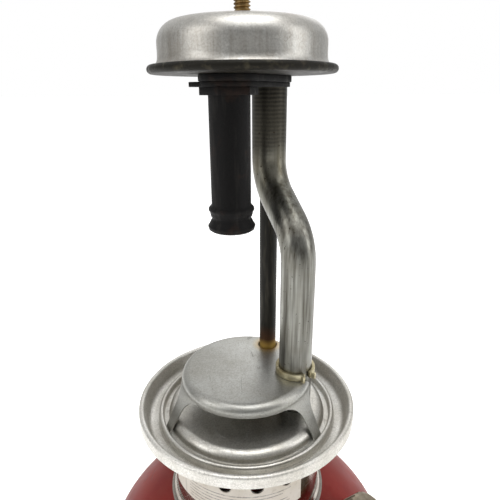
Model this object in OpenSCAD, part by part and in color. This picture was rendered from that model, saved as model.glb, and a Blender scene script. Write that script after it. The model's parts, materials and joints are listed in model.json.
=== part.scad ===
// Single-burner pressure lantern for liquid fuel, with its hood, globe and carrying bail taken off.
// +Z is up and the origin is the centre of the base. The label on the collar faces -Y.
// The valve wheel, the tip-cleaner lever and the pump are on the +Y side, and the filler cap is on the +X side.

/* [Fount] */
// Largest radius of the fuel fount
fount_r = 79; // [74:0.5:96]
// Rise of the dome above the seam
dome_h = 63.6; // [56:0.1:78]
// Height of the seam between the dome and the base shell
seam_z = 38; // [33:0.5:48]
// Sheet thickness of both fount shells
fount_wall = 1; // [0.8:0.1:1.4]
// Radius of the flat deck on top of the dome
deck_r = 34; // [30:0.5:36]
// Width of the foot ring that the lantern stands on
foot_w = 8; // [5:0.5:12]
// Radius of the lower corner of the base shell
base_corner_r = 7; // [4:0.5:10]
// Depth of the recess under the base
base_recess = 5; // [3:0.5:6]

/* [Collar] */
// Outside radius of the collar
collar_r = 36.6; // [35.5:0.1:38]
// Height of the collar's top above the deck
collar_rise = 41.8; // [40:0.2:52]
// How far the collar's foot flares out beyond its wall
collar_flare = 1.6; // [1:0.1:6]
// Sheet thickness of the collar
collar_wall = 0.8; // [0.6:0.1:1]
// Radius of each vent hole
vent_r = 2.8; // [2:0.1:3.4]
// Number of vent holes
vent_count = 16; // [12:1:18]

/* [Globe rest and shields] */
// How far the globe rest reaches out beyond the collar
rest_reach = 15.4; // [13.4:0.1:25]
// Height of the rest's lip above its floor
rest_lip_h = 8; // [6:0.5:10]
// Sheet thickness of the rest and shields
shield_wall = 0.8; // [0.6:0.1:1]
// How far the heat shield's edge lies inside the base plate's
shield_inset = 11.7; // [9.7:0.1:13.2]
// Height of the heat shield's top above the rest's lip
shield_rise = 15.7; // [12:0.1:20]

/* [Burner] */
// Outside radius of the mixing tube
mix_r = 7.65; // [6.5:0.05:8.2]
// Wall of the mixing tube
mix_wall = 0.9; // [0.6:0.1:1.2]
// Height of the mixing chamber's underside above the rest's lip
chamber_rise = 147.1; // [125:0.1:177]
// Height above the lip at which the lower bend starts
bend_start = 70; // [60:0.5:78]
// Height of the double bend
bend_h = 43; // [40:0.5:50]
// Angle of each of the two bends
bend_angle = 50; // [45:1:56]
// Outside radius of the burner tube
burner_r = 8.15; // [7:0.05:8.6]
// Length of the burner tube below the locknut
burner_len = 53.6; // [44:0.1:64]
// Outside radius of the generator tube
gen_r = 4.2; // [3.8:0.05:4.5]
// Outside radius of the chamber's dome
cap_r = 32.1; // [30:0.1:38.5]
// Height of the dome above the chamber's underside
cap_h = 19.8; // [17:0.1:24]
// Radius of the ventilator stud
stud_r = 3.15; // [2.6:0.05:3.8]
// Free length of the ventilator stud
stud_len = 22; // [16:0.5:30]

/* [Controls] */
// Radius of the valve wheel
wheel_r = 17; // [14:0.5:18]
// Length of the tip-cleaner lever from its axis
lever_len = 16.5; // [12:0.5:18]
// Throw of the eccentric that lifts the cleaning needle
eccentric = 1.2; // [0.9:0.1:1.4]
// Radius of the filler cap
filler_cap_r = 13.2; // [12.8:0.1:14]
// Outside radius of the pump barrel
barrel_r = 10.5; // [9.5:0.1:11]
// Length of the pump barrel
barrel_len = 98; // [88:0.5:104]
// Radius of the pump knob
knob_r = 9.5; // [8:0.1:11.5]

/* [Hidden] */
$fn = 72;
fit = 0.05;          // clearance of a piece pressed or screwed into another, per side
seat = 0.1;          // gap under a piece that stands on another
slide_gap = 0.3;     // clearance round what slides or turns loosely
run_gap = 0.08;      // clearance of a shaft in its bearing, per side

// Places in plan. The generator rises straight into the upper part of the mixing tube.
valve_angle = 60;
gen_reach = 22.9;
gen_pos = gen_reach * [cos(valve_angle), sin(valve_angle)];
mix_pos = [23.3, -3.9];
burner_pos = [-5.3, -4.5];
leg_angles = [-156, -36, 84];
vent_phase = 6.8 - 90;

// Heights, each from the piece that it stands on.
function dome_z(r) = seam_z + dome_h * sqrt(1 - pow(r / fount_r, 2));
// Height that clears the dome by t, measured square to it.
function over_dome(r, t) = dome_z(r) + t / sin(dome_elevation(r));
function dome_elevation(r) = atan2((dome_z(r) - seam_z) / pow(dome_h, 2), r / pow(fount_r, 2));
rest_r = collar_r + rest_reach;
deck_z = dome_z(deck_r);
collar_top = deck_z + collar_rise;
floor_z = collar_top + seat / 2 + shield_wall;
lip_z = floor_z + rest_lip_h;
shield_z = lip_z + shield_rise;
chamber_z = lip_z + chamber_rise;
cap_z = chamber_z + cap_h;

// Outlines

function reverse(list) = [for (i = [len(list) - 1:-1:0]) list[i]];
function arc(centre, r, a0, a1, n = 8) =
    [for (i = [0:n]) let (a = a0 + (a1 - a0) * i / n) centre + r * [cos(a), sin(a)]];
function unit(v) = v / norm(v);
function left_of(d) = [-d[1], d[0]];
// The path moved sideways by t, to its left where t is positive, with mitred corners.
function moved_path(path, t) = [
    for (i = [0:len(path) - 1])
        let (before = unit(path[max(i, 1)] - path[max(i, 1) - 1]),
             after = unit(path[min(i + 1, len(path) - 1)] - path[min(i, len(path) - 2)]),
             normal = unit(left_of(before) + left_of(after)))
        path[i] + normal * t / (normal * left_of(before))
];
module turned(path, t) rotate_extrude() polygon(concat(path, reverse(moved_path(path, t))));

module ring(r_out, r_in, h) difference() {
    cylinder(r = r_out, h = h);
    translate([0, 0, -1]) cylinder(r = r_in, h = h + 2);
}
// A hexagonal nut that is flats across its flats, with a bore.
module hex_nut(flats, bore_r, h) difference() {
    cylinder(r = flats / sqrt(3), h = h, $fn = 6);
    translate([0, 0, -1]) cylinder(r = bore_r, h = h + 2);
}
module along_x() rotate([0, 90, 0]) children();
module along_y() rotate([-90, 0, 0]) children();

// Fount

seam_gap = 0.1;
seam_lap = 5;
base_r = fount_r - fount_wall - seam_gap;
base_taper = 0.9;
foot_out = base_r - base_taper - base_corner_r;
foot_in = foot_out - foot_w;
recess_slope = 4;

dome_path = concat(
    [[fount_r, seam_z - seam_lap]],
    [for (i = [0:16]) let (t = i * acos(deck_r / fount_r) / 16) [fount_r * cos(t), seam_z + dome_h * sin(t)]],
    [[0, deck_z]]);

filler_angle = -23;
filler_in = 21.5;
collar_foot_r = collar_r + collar_flare;
foot_flange = 1.2;  // width of the collar's lower edge that lies on the dome
filler_at = max(fount_r - filler_in, collar_foot_r + foot_flange + 11);
filler_tilt = 90 - dome_elevation(filler_at);
filler_boss_r = 13.4;
filler_boss_h = 1.8;
neck_r = 10.5;
neck_h = 9;
module at_filler() rotate([0, 0, filler_angle])
    translate([filler_at, 0, dome_z(filler_at)]) rotate([0, filler_tilt, 0]) children();

pump_angle = 125;
pump_in = 17;
pump_at = fount_r - pump_in;
pump_elevation = 36;
pump_boss_r = barrel_r + 6.5;
pump_boss_h = 2.5;
pump_screw_ring = barrel_r + 3.8;
pump_screw_r = 1.2;
module at_pump() rotate([0, 0, pump_angle])
    translate([pump_at, 0, dome_z(pump_at)]) rotate([0, 90 - pump_elevation, 0]) children();
module pump_screw_places() for (a = [30:120:270]) rotate([0, 0, a]) translate([pump_screw_ring, 0, 0]) children();

bushing_spigot_r = 7.9;
module at_valve() rotate([0, 0, valve_angle]) translate([gen_reach, 0, 0]) children();

module fount_dome() color("firebrick") difference() {
    union() {
        turned(dome_path, fount_wall);
        at_filler() translate([0, 0, -5]) cylinder(r = filler_boss_r, h = 5 + filler_boss_h);
        at_pump() translate([0, 0, -6]) cylinder(r = pump_boss_r, h = 6 + pump_boss_h);
    }
    at_filler() translate([0, 0, -20]) cylinder(r = neck_r + fit, h = 40);
    at_pump() translate([0, 0, -20]) cylinder(r = barrel_r + fit, h = 40);
    at_pump() pump_screw_places() translate([0, 0, 0.5]) cylinder(r = pump_screw_r + fit, h = 4);
    at_valve() translate([0, 0, deck_z - 5]) cylinder(r = bushing_spigot_r + fit, h = 10);
}

module fount_base() color("firebrick") turned(concat(
    [[0, base_recess], [foot_in - recess_slope, base_recess], [foot_in, 0]],
    arc([foot_out, base_corner_r], base_corner_r, -90, 0, 6),
    [[base_r, seam_z - 3 * seam_lap], [base_r, seam_z + 1]]), fount_wall);

// Filler neck and cap

module filler_neck() color("goldenrod") at_filler() {
    difference() {
        union() {
            translate([0, 0, -7]) cylinder(r = neck_r, h = 7 + neck_h);
            translate([0, 0, filler_boss_h + fit]) cylinder(r = neck_r + 1.7, h = 0.8);
        }
        translate([0, 0, -8]) cylinder(r = neck_r - 1.9, h = 12 + neck_h);
    }
}
gasket_h = 1.5;
cap_bore_r = neck_r + 0.3;
cap_ceiling = neck_h + seat + gasket_h + seat;
cap_skirt_z = filler_boss_h + 1.3;
cap_top_h = 2.4;
module filler_cap() color("rosybrown") at_filler() difference() {
    union() {
        translate([0, 0, cap_skirt_z]) cylinder(r = filler_cap_r, h = cap_ceiling + 1 - cap_skirt_z);
        translate([0, 0, cap_ceiling + 1])
            cylinder(r1 = filler_cap_r, r2 = filler_cap_r - cap_top_h + 1, h = cap_top_h - 1);
    }
    translate([0, 0, cap_skirt_z - 1]) cylinder(r = cap_bore_r, h = cap_ceiling - cap_skirt_z + 1);
    for (a = [0:15:359]) rotate([0, 0, a])
        translate([filler_cap_r + 0.35, 0, cap_skirt_z + 1.5]) cylinder(r = 0.9, h = cap_ceiling, $fn = 24);
}
module cap_gasket() color("dimgray") at_filler()
    translate([0, 0, neck_h + seat]) ring(neck_r - fit, 3.3, gasket_h);
module cap_insert() color("silver") at_filler() {
    translate([0, 0, neck_h - 3.5]) cylinder(r = neck_r - 2.3, h = 3.5);
    translate([0, 0, neck_h - fit]) cylinder(r = 3.3 - fit, h = gasket_h + seat + fit);
}

// Pump

barrel_wall = 0.8;
bore_r = barrel_r - barrel_wall;
flange_r = barrel_r + 1.9;
flange_h = 0.8;
cover_z = pump_boss_h + seat / 2 + flange_h + seat / 2;
cover_h = 4;
barrel_end = cover_z - seat / 2 - barrel_len;
rod_r = 3.9;
rod_bore = 1.9;
stem_r = 1.6;
check_top = barrel_end + 3;
rod_end = check_top + 3;
cup_z = rod_end + 1.5;
cup_h = 5;
knob_z = cover_z + cover_h + 1.6;
knob_h = 11;

module pump_barrel() color("goldenrod") at_pump() difference() {
    union() {
        translate([0, 0, barrel_end]) cylinder(r = barrel_r, h = barrel_len - fit);
        translate([0, 0, pump_boss_h + seat / 2]) cylinder(r = flange_r, h = flange_h);
    }
    translate([0, 0, barrel_end - 1]) cylinder(r = bore_r, h = barrel_len + 4);
}
module pump_cover() color("silver") at_pump() difference() {
    union() {
        translate([0, 0, cover_z]) cylinder(r = pump_boss_r - 0.5, h = cover_h - 1.2);
        translate([0, 0, cover_z + cover_h - 1.2])
            cylinder(r1 = pump_boss_r - 0.5, r2 = pump_boss_r - 1.7, h = 1.2);
    }
    translate([0, 0, cover_z - 1]) cylinder(r = rod_r + run_gap, h = cover_h + 2);
    pump_screw_places() translate([0, 0, cover_z - 1]) cylinder(r = pump_screw_r + fit, h = cover_h + 2);
}
module pump_screws() color("gainsboro") at_pump() pump_screw_places() difference() {
    union() {
        translate([0, 0, 0.6]) cylinder(r = pump_screw_r, h = cover_z + cover_h - 0.6 + fit);
        translate([0, 0, cover_z + cover_h + fit]) cylinder(r = 1.9, h = 1.2);
    }
    translate([-3, -0.3, cover_z + cover_h + 0.7]) cube([6, 0.6, 2]);
}
module plunger_rod() color("silver") at_pump() difference() {
    translate([0, 0, rod_end]) cylinder(r = rod_r, h = knob_z + 4 - rod_end);
    translate([0, 0, rod_end - 1]) cylinder(r = rod_bore, h = knob_z - rod_end);
}
module pump_knob() color("silver") at_pump() difference() {
    union() {
        translate([0, 0, knob_z]) cylinder(r = knob_r, h = knob_h - 2.5);
        translate([0, 0, knob_z + knob_h - 2.5]) cylinder(r1 = knob_r, r2 = knob_r - 2.2, h = 2.5);
    }
    translate([0, 0, knob_z - 1]) cylinder(r = rod_r + fit, h = 5 + fit);
    translate([0, 0, knob_z + knob_h - 1]) cylinder(r = knob_r - 4, h = 2);
    for (a = [0:20:359]) rotate([0, 0, a]) translate([knob_r + 0.5, 0, knob_z + 1])
        cylinder(r = 1, h = knob_h, $fn = 24);
}
module pump_cup() color("saddlebrown") at_pump() rotate_extrude() polygon([
    [rod_r + fit, cup_z], [bore_r - slide_gap, cup_z], [bore_r - slide_gap, cup_z + 0.4],
    [bore_r - 1.6, cup_z + 1.8], [bore_r - 1.6, cup_z + cup_h], [rod_r + fit, cup_z + cup_h]]);
module cup_washers() color("silver") at_pump() {
    translate([0, 0, rod_end]) ring(rod_r + 3.4, rod_r + fit, cup_z - rod_end - fit);
    translate([0, 0, cup_z + cup_h + fit]) ring(rod_r + 3.4, rod_r + fit, 1);
}
module air_stem() color("goldenrod") at_pump() {
    translate([0, 0, barrel_end - 2]) cylinder(r = stem_r, h = knob_z - 4 - barrel_end);
    translate([0, 0, barrel_end - 4]) cylinder(r1 = 0.5, r2 = stem_r, h = 2 + fit);
}
module check_valve() color("goldenrod") at_pump() difference() {
    union() {
        translate([0, 0, barrel_end + fit]) cylinder(r = bore_r - fit, h = check_top - barrel_end - fit);
        translate([0, 0, barrel_end - 7]) cylinder(r = bore_r - 2.2, h = 7 + 2 * fit);
    }
    translate([0, 0, barrel_end - 5]) cylinder(r = stem_r + run_gap, h = 20);
    translate([0, 0, barrel_end - 8]) cylinder(r = 0.9, h = 8);
}

// Valve, in the valve's own frame: x points out of the lantern along the valve stem.

stem_z = deck_z + 13.4;
cleaner_z = deck_z + 21;
body_top = deck_z + 27.5;
spigot_top = body_top + 3.5;
body_r = 8.5;
bushing_h = 5;
spindle_r = 2.5;
packing_nut_end = 23.5;
disc_z = packing_nut_end + seat;
carrier_r = 3.2;
carrier_h = 5.2;
pin_r = 0.8;
pin_z = cleaner_z - eccentric;
cleaner_r = 1.8;
needle_r = 0.45;
cleaner_boss = 12;
lever_y = collar_r + 1.4;
lever_t = 2.2;

module valve_bushing() color("goldenrod") at_valve() difference() {
    union() {
        translate([0, 0, deck_z + fit]) cylinder(r = 20 / sqrt(3), h = bushing_h - fit, $fn = 6);
        translate([0, 0, deck_z - 3]) cylinder(r = bushing_spigot_r, h = 4);
    }
    translate([0, 0, deck_z - 4]) cylinder(r = 6 + fit, h = bushing_h + 5);
}
module valve_body() color("goldenrod") at_valve() difference() {
    union() {
        translate([0, 0, deck_z - 12]) cylinder(r = 6, h = 12 + bushing_h + 1);
        translate([0, 0, deck_z + bushing_h + fit]) cylinder(r = body_r, h = body_top - deck_z - bushing_h - fit);
        translate([0, 0, body_top - 1]) cylinder(r = 5, h = spigot_top - body_top + 1);
        translate([0, 0, stem_z]) along_x() cylinder(r = 6.3, h = 9);
        translate([0, 0, stem_z]) along_x() cylinder(r = 5, h = 12);
        translate([0, 0, cleaner_z]) along_y() cylinder(r = 4.5, h = cleaner_boss);
    }
    translate([0, 0, deck_z - 13]) cylinder(r = 1.5, h = 30);
    translate([0, 0, cleaner_z - 6]) cylinder(r = carrier_r + slide_gap, h = spigot_top);
    translate([1, 0, stem_z]) along_x() cylinder(r = spindle_r + slide_gap, h = 20);
    translate([0, 0, cleaner_z]) along_y() cylinder(r = 2.6, h = 5);
    translate([0, 0, cleaner_z]) along_y() cylinder(r = cleaner_r + run_gap, h = 20);
}
module fuel_pickup() color("goldenrod") at_valve() {
    translate([0, 0, base_recess + fount_wall + 2]) ring(3, 2.2, deck_z - 12 - base_recess - fount_wall - 2 - fit);
}
module packing_nut() color("goldenrod") at_valve() translate([0, 0, stem_z]) along_x() difference() {
    union() {
        translate([0, 0, 9 + fit]) cylinder(r = 14 / sqrt(3), h = packing_nut_end - 9 - fit, $fn = 6);
        translate([0, 0, packing_nut_end - 1]) cylinder(r = 4.4, h = 4.5);
    }
    translate([0, 0, 8]) cylinder(r = 5 + fit, h = 6.5);
    translate([0, 0, 8]) cylinder(r = spindle_r + slide_gap, h = 30);
}
module valve_packing() color("dimgray") at_valve() translate([12 + fit, 0, stem_z])
    along_x() ring(5, spindle_r + run_gap, 2.4);
module valve_stem() color("silver") at_valve() translate([0, 0, stem_z]) along_x() {
    translate([0, 0, 2]) cylinder(r1 = 0.8, r2 = spindle_r, h = 2 + fit);
    translate([0, 0, 4]) cylinder(r = spindle_r, h = 34);
}
module direction_disc() color("silver") at_valve() translate([disc_z, 0, stem_z])
    along_x() ring(wheel_r - 3, 4.4 + fit, 0.8);
module disc_nut() color("silver") at_valve() translate([disc_z + 0.8 + fit, 0, stem_z])
    along_x() hex_nut(12, 4.4 + fit, 2.2);
wheel_x = 29.5;
wheel_t = 9;
module valve_wheel() color("darkslategray") at_valve() translate([wheel_x, 0, stem_z]) along_x() difference() {
    union() {
        cylinder(r = 6, h = wheel_t);
        translate([0, 0, 1.5]) cylinder(r = wheel_r, h = wheel_t - 2.5);
    }
    translate([0, 0, -1]) cylinder(r = spindle_r + fit, h = wheel_t + 2);
    translate([0, 0, wheel_t - 2.5]) ring(wheel_r - 4, 6, 3);
    for (a = [0:36:359]) rotate([0, 0, a]) translate([wheel_r + 1.4, 0, 0]) cylinder(r = 3, h = wheel_t, $fn = 36);
}
module wheel_screw() color("gainsboro") at_valve() translate([wheel_x + wheel_t + fit, 0, stem_z]) along_x()
    difference() {
        cylinder(r = 3.3, h = 1.5);
        translate([-4, -0.4, 0.7]) cube([8, 0.8, 2]);
    }

// Tip cleaner: a lever turns an eccentric pin in the slot of the carrier, which lifts the needle.

module cleaner_stem() color("silver") at_valve() translate([0, 0, cleaner_z]) along_y() {
    translate([0, 0, carrier_r + 0.3]) cylinder(r = 2.4, h = 1.1);
    translate([0, 0, carrier_r + 1]) cylinder(r = cleaner_r, h = lever_y + lever_t + 0.6 - carrier_r - 1);
    translate([0, eccentric, 0.2]) cylinder(r = pin_r, h = carrier_r + 0.3);
}
module cleaner_nut() color("goldenrod") at_valve() translate([0, cleaner_boss + fit, cleaner_z])
    along_y() hex_nut(10, cleaner_r + run_gap, 5);
module cleaner_lever() color("silver") at_valve() translate([0, lever_y, cleaner_z]) along_y() difference() {
    union() {
        cylinder(r = 3.6, h = lever_t);
        translate([-2.2, 0, 0]) cube([4.4, lever_len - 2.2, lever_t]);
        translate([0, lever_len - 2.2, 0]) cylinder(r = 2.2, h = lever_t + 3);
    }
    translate([0, 0, -1]) cylinder(r = cleaner_r + fit, h = lever_t + 2);
}
module needle_carrier() color("goldenrod") at_valve() difference() {
    translate([0, 0, pin_z - carrier_h / 2]) cylinder(r = carrier_r, h = carrier_h);
    translate([-2.4, -1, pin_z - pin_r - 0.35]) cube([4.8, 6, 2 * pin_r + 0.7]);
}
gen_top = lip_z + bend_start + bend_h - 5;
module cleaning_needle() color("gray") at_valve() translate([0, 0, pin_z + carrier_h / 2])
    cylinder(r = needle_r, h = gen_top + 1 - pin_z - carrier_h / 2);

// Generator

module generator_nut() color("goldenrod") at_valve() difference() {
    translate([0, 0, body_top + fit]) cylinder(r = 13.5 / sqrt(3), h = 9.5, $fn = 6);
    translate([0, 0, body_top - 1]) cylinder(r = 5 + fit, h = 1 + spigot_top - body_top + 1.7);
    translate([0, 0, body_top]) cylinder(r = gen_r + fit, h = 20);
}
module generator_tube() color("dimgray") at_valve() difference() {
    union() {
        translate([0, 0, spigot_top + fit]) cylinder(r = 5, h = 1.5);
        translate([0, 0, spigot_top + fit]) cylinder(r = gen_r, h = gen_top - spigot_top - fit);
    }
    translate([0, 0, spigot_top - 1]) cylinder(r = gen_r - 0.9, h = gen_top);
}
module generator_tip() color("goldenrod") at_valve() difference() {
    union() {
        translate([0, 0, gen_top - 4]) cylinder(r = gen_r - 0.9 - fit, h = 4 + 2 * fit);
        translate([0, 0, gen_top + fit]) cylinder(r = gen_r - 0.4, h = 2);
        translate([0, 0, gen_top + 2]) cylinder(r1 = gen_r - 0.4, r2 = 1.6, h = 3);
    }
    translate([0, 0, gen_top - 6]) cylinder(r = needle_r + run_gap, h = 20);
}

// Collar and label

flare_foot = over_dome(collar_foot_r, seat + collar_wall);
flare_top = flare_foot + 2.4 * collar_flare;
flare_phi = 2 * atan((collar_foot_r - collar_r) / (flare_top - flare_foot));
flare_r = (flare_top - flare_foot) / sin(flare_phi);
vent_z = lip_z - 22;
vent_step = 360 / vent_count;

module collar() color("lightgray") difference() {
    turned(concat(
        [[collar_foot_r + foot_flange, over_dome(collar_foot_r + foot_flange, seat + collar_wall)]],
        arc([collar_r + flare_r, flare_top], flare_r, 180 + flare_phi, 180, 8),
        [[collar_r, collar_top], [collar_r - 3, collar_top]]), collar_wall);
    for (k = [0:vent_count - 1]) rotate([0, 0, vent_phase + k * vent_step])
        translate([collar_r - 3, 0, vent_z]) along_x() cylinder(r = vent_r, h = 6);
    at_valve() translate([6, 0, stem_z]) along_x() cylinder(r = 8.6, h = collar_r);
    at_valve() translate([0, 20, cleaner_z]) along_y() cylinder(r = cleaner_r + 0.8, h = collar_r);
}

label_from = -156;
label_turn = 108;
label_t = 0.2;
module collar_label() color("ivory") difference() {
    rotate([0, 0, label_from]) rotate_extrude(angle = label_turn)
        translate([collar_r + fit, vent_z - 15.5]) square([label_t, 21.5]);
    for (k = [0:vent_count - 1]) rotate([0, 0, vent_phase + k * vent_step])
        translate([collar_r - 3, 0, vent_z]) along_x() cylinder(r = vent_r + 0.3, h = 6);
}

// Globe rest, base plate and heat shield

rest_in = collar_r - 3.6;
roll_r = 1.3;
channel_corner = 3.2;
channel_drop = 0.6;
wall_foot = rest_r - 2 * roll_r - 1;
plate_out = 6.1;   // how far the base plate reaches out beyond the collar
plate_r = collar_r + plate_out;
shield_r = plate_r - shield_inset;
bead_r = 1.1;
plate_wall = 0.6;
channel_z = floor_z - channel_drop;
plate_top = floor_z + 5.5;
ledge_z = floor_z + seat + plate_wall + 0.3;
ledge_in = plate_r - 4.6;

module globe_rest() color("lightgray") turned(concat(
    [[rest_in, floor_z], [plate_r + 0.2, floor_z], [plate_r + 0.5, channel_z]],
    arc([wall_foot - channel_corner, channel_z + channel_corner], channel_corner, -90, -15, 6),
    arc([rest_r - roll_r, lip_z - roll_r], roll_r, 180, 20, 8),
    [[rest_r, lip_z - roll_r - 0.4], [rest_r, floor_z + 2.5]]), -shield_wall);

module base_plate() color("gainsboro") difference() {
    turned(concat(
        [[0, plate_top]],
        arc([ledge_in - 4.5, plate_top - 4.2], 4.2, 90, 0, 6),
        [[ledge_in, ledge_z], [plate_r - 2 * bead_r - 0.3, ledge_z]],
        arc([plate_r - bead_r, floor_z + 2.5], bead_r, 180, 0, 8),
        [[plate_r, floor_z + seat]]), -plate_wall);
    translate([mix_pos[0], mix_pos[1], 0]) cylinder(r = mix_r + 0.15, h = 2 * lip_z);
    at_valve() cylinder(r = gen_r + 0.3, h = 2 * lip_z);
}
module ring_nut() color("goldenrod") translate([mix_pos[0], mix_pos[1], plate_top - plate_wall - 3.1]) difference() {
    ring(mix_r + 3, mix_r + fit, 3);
    for (a = [45:90:359]) rotate([0, 0, a]) translate([mix_r + 1.8, -1, -1]) cube([4, 2, 5]);
}
// A thin tab that lies across the channel's rounded corner.
tab_in = wall_foot - channel_corner + 0.1;
tab_out = wall_foot - channel_corner + 2.8;
tab_rise = channel_corner - sqrt(pow(channel_corner, 2) - pow(tab_out - wall_foot + channel_corner, 2)) + 2 * seat;
module rest_tab() color("white") rotate([0, 0, -62]) rotate_extrude(angle = 15) polygon([
    [tab_in, channel_z + seat], [tab_out, channel_z + tab_rise], [tab_out - 0.25, channel_z + tab_rise + 0.4],
    [tab_in, channel_z + seat + 0.5]]);

shield_corner = 4;
skirt_z = shield_z - 5.3;
leg_foot_z = ledge_z + fit;
leg_foot_r = plate_r - 2 * bead_r - 0.4;
leg_foot_w = 2.6;
leg_neck_w = 3.6;
leg_flare = 8;
clip_r = mix_r + 0.5;
clip_h = 3.2;
// Outline of one leg, seen from outside: narrow at the foot, with a curved flare into the skirt.
leg_side = concat([[leg_foot_w, leg_foot_z - 1], [leg_neck_w, skirt_z - leg_flare]],
    arc([leg_neck_w + leg_flare, skirt_z - leg_flare], leg_flare, 180, 90, 6),
    [[leg_neck_w + leg_flare, skirt_z + 2]]);
module heat_shield() color("gainsboro") difference() {
    union() {
        turned(concat([[0, shield_z]],
            arc([shield_r - shield_corner, shield_z - shield_corner], shield_corner, 90, 0, 6),
            [[shield_r, skirt_z]]), -shield_wall);
        intersection() {
            rotate_extrude() polygon([[shield_r, skirt_z], [leg_foot_r, leg_foot_z],
                [leg_foot_r - shield_wall, leg_foot_z], [shield_r - shield_wall, skirt_z],
                [shield_r - shield_wall + 0.1, skirt_z + 1], [shield_r - 0.1, skirt_z + 1]]);
            for (a = leg_angles) rotate([0, 0, a]) translate([shield_r - 10, 0, 0]) rotate([90, 0, 90])
                linear_extrude(30) polygon(concat(leg_side, [for (p = reverse(leg_side)) [-p[0], p[1]]]));
        }
    }
    translate([mix_pos[0], mix_pos[1], skirt_z - 15]) cylinder(r = clip_r + 0.2, h = 30);
    at_valve() translate([0, 0, shield_z - 4]) cylinder(r = gen_r + 0.7, h = 8);
}
clip_gap_angle = -58;
module tube_clip() color("darkkhaki") translate([mix_pos[0], mix_pos[1], shield_z + seat]) difference() {
    union() {
        ring(clip_r + 1.1, mix_r + 0.1, clip_h);
        rotate([0, 0, clip_gap_angle - 14]) translate([clip_r, -1.2, 0]) cube([3, 1.2, clip_h]);
        rotate([0, 0, clip_gap_angle + 14]) translate([clip_r, 0, 0]) cube([3, 1.2, clip_h]);
    }
    rotate([0, 0, clip_gap_angle]) translate([0, -1.4, -1]) cube([20, 2.8, clip_h + 2]);
    translate([0, 0, -1]) cylinder(r = mix_r + 0.1, h = clip_h + 2);
}

// Mixing tube: two equal bends join the lower stretch to the upper one, which stands over the generator.

mix_bottom = floor_z - 6;
tube_top = chamber_z - 0.6;
mix_shift = gen_pos - mix_pos;
shift_angle = atan2(mix_shift[1], mix_shift[0]);
bend_r = (bend_h * sin(bend_angle) - norm(mix_shift) * cos(bend_angle)) / (2 * (1 - cos(bend_angle)));
bend_straight = (norm(mix_shift) - 2 * bend_r * (1 - cos(bend_angle))) / sin(bend_angle);
lap = 0.4; // how far a straight stretch reaches over the end of a bend, which is drawn hair_gap thinner
hair_gap = 0.03;
module bent_stretch() rotate_extrude(angle = bend_angle) translate([bend_r, 0]) difference() {
    circle(r = mix_r - hair_gap);
    circle(r = mix_r - mix_wall + hair_gap);
}
module mixing_tube() color("darkgray") difference() {
    translate([mix_pos[0], mix_pos[1], 0]) rotate([0, 0, shift_angle]) {
        translate([0, 0, mix_bottom]) ring(mix_r, mix_r - mix_wall, lip_z + bend_start - mix_bottom + lap);
        translate([bend_r, 0, lip_z + bend_start]) rotate([-90, 0, 0]) rotate([0, 0, 180]) bent_stretch();
        translate([bend_r, 0, lip_z + bend_start]) rotate([0, bend_angle, 0]) translate([-bend_r, 0, -lap])
            ring(mix_r, mix_r - mix_wall, bend_straight + 2 * lap);
        translate([norm(mix_shift) - bend_r, 0, lip_z + bend_start + bend_h]) rotate([90, 0, 0])
            rotate([0, 0, -bend_angle]) bent_stretch();
        translate([norm(mix_shift), 0, lip_z + bend_start + bend_h - lap])
            ring(mix_r, mix_r - mix_wall, tube_top - lip_z - bend_start - bend_h + lap);
    }
    at_valve() translate([0, 0, lip_z + bend_start]) cylinder(r = gen_r + 0.15, h = bend_h);
}

// Manifold, burner tube and mixing chamber

slab_h = 2.6;
plate_h = 1.9;
locknut_h = 2.9;
slab_z = chamber_z - seat / 2 - slab_h;
retainer_z = slab_z - plate_h;
locknut_z = retainer_z - fit - locknut_h;
burner_boss_r = burner_r + 3.5;
mix_boss_r = mix_r + 1.75;
burner_end = locknut_z - burner_len;

// The convex outline round two circles, from their outer tangent points.
module two_circle_slab(p, rp, q, rq, h) {
    d = q - p;
    lean = acos((rp - rq) / norm(d));
    base = atan2(d[1], d[0]);
    a = [cos(base + lean), sin(base + lean)];
    b = [cos(base - lean), sin(base - lean)];
    translate([p[0], p[1], 0]) cylinder(r = rp, h = h);
    translate([q[0], q[1], 0]) cylinder(r = rq, h = h);
    linear_extrude(h) polygon([p + rp * a, q + rq * a, q + rq * b, p + rp * b]);
}
module tube_bores(extra, h) {
    translate([burner_pos[0], burner_pos[1], 0]) cylinder(r = burner_r + extra, h = h);
    translate([gen_pos[0], gen_pos[1], 0]) cylinder(r = mix_r + extra, h = h);
}
module manifold() color("dimgray") difference() {
    translate([0, 0, slab_z]) two_circle_slab(burner_pos, burner_boss_r, gen_pos, mix_boss_r, slab_h);
    translate([0, 0, slab_z - 1]) tube_bores(fit, slab_h + 2);
}
module retainer_plate() color("dimgray") difference() {
    translate([0, 0, retainer_z]) {
        two_circle_slab(burner_pos, burner_boss_r - 0.6, gen_pos, mix_boss_r - 0.6, plate_h - fit);
        linear_extrude(plate_h - fit) polygon([burner_pos + [-15.5, 1], burner_pos + [-14, 4.5],
            burner_pos + [-3, 9], burner_pos + [-3, -9]]);
    }
    translate([0, 0, retainer_z - 1]) tube_bores(fit, plate_h + 2);
}
module burner_locknut() color("dimgray") translate([burner_pos[0], burner_pos[1], locknut_z]) rotate([0, 0, 12])
    hex_nut(20, burner_r + fit, locknut_h);

burner_wall = 1;
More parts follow.
